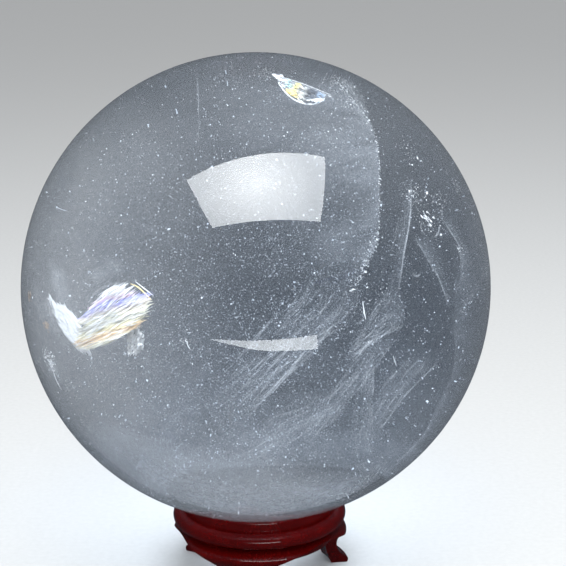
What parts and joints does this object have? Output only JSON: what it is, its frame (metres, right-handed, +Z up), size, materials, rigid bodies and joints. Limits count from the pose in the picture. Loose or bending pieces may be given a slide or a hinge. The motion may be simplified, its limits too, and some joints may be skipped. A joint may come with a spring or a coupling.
{
  "type": "crystal ball on stand",
  "caption": "Polished natural crystal ball with milky veils and a rainbow fracture, resting in a red lacquered ring stand on three carved legs.",
  "frame": {"origin": "on the table under the middle of the ball", "axes": "+Z up through the middle of the ball, -Y towards the viewer, +X to the viewer's right; the front leg stands 12 degrees to the viewer's left"},
  "size_m": [0.08, 0.08, 0.092],
  "materials": {
    "milky_quartz": "polished",
    "red_lacquered_wood": "gloss lacquer"
  },
  "bodies": {
    "stand": {"stand_base": "red_lacquered_wood", "seat_ring": "red_lacquered_wood"},
    "ball": {"crystal_ball": "milky_quartz"}
  },
  "joints": [
    {"name": "ball_lift", "type": "slide", "parent": "stand", "child": "ball", "axis": [0, 0, 1], "range_m": [0, 0.04]}
  ]
}
